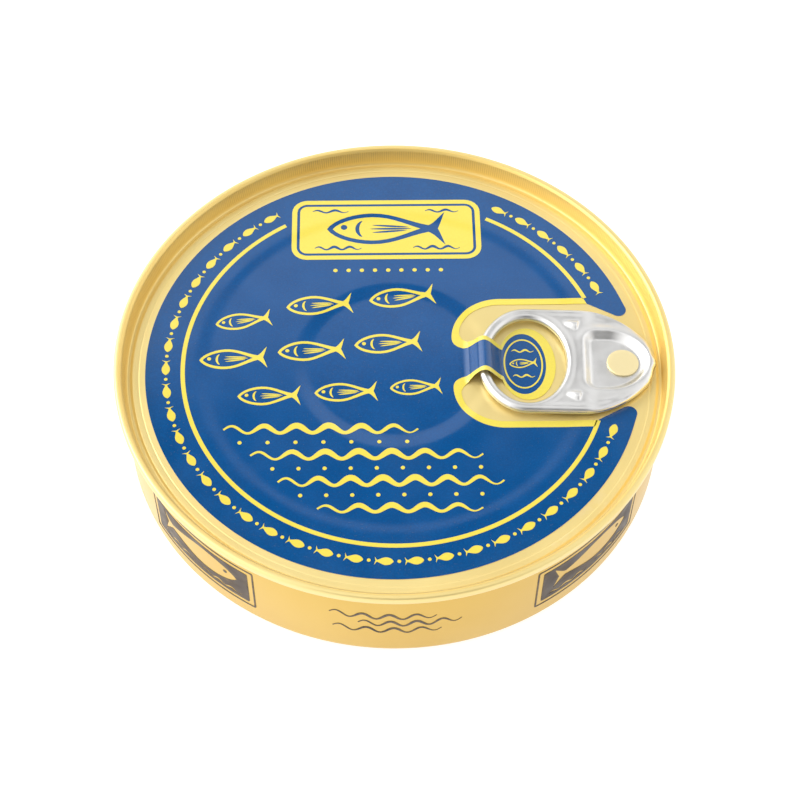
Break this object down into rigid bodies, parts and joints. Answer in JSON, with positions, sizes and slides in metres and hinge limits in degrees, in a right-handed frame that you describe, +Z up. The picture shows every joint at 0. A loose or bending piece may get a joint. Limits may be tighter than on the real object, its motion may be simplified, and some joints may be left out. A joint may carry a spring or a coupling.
{
  "type": "sardine tin",
  "caption": "Shut round flat fish tin: drawn gold body, seamed easy-open end with a riveted ring tab, and a blue film label whose tongue is folded over the ring.",
  "frame": {"origin": "the middle of the base, at the bottom centre of the bounding box", "axes": "+Z up through the lid, +X from the middle towards the tab's rivet and nose, +Y away from the reader"},
  "size_m": [0.1026, 0.1026, 0.0215],
  "materials": {
    "tin_gold": "satin gold lacquer on drawn tinplate, with small printed panels round the wall",
    "lid_gold": "satin gold lacquer on pressed plate",
    "tab_metal": "bare satin aluminium with curled edges",
    "label_film": "glossy printed film, deep blue with yellow borders and motifs"
  },
  "bodies": {
    "root": {"can_body": "tin_gold", "lid": "lid_gold", "pull_tab": "tab_metal", "label": "label_film"}
  },
  "joints": []
}
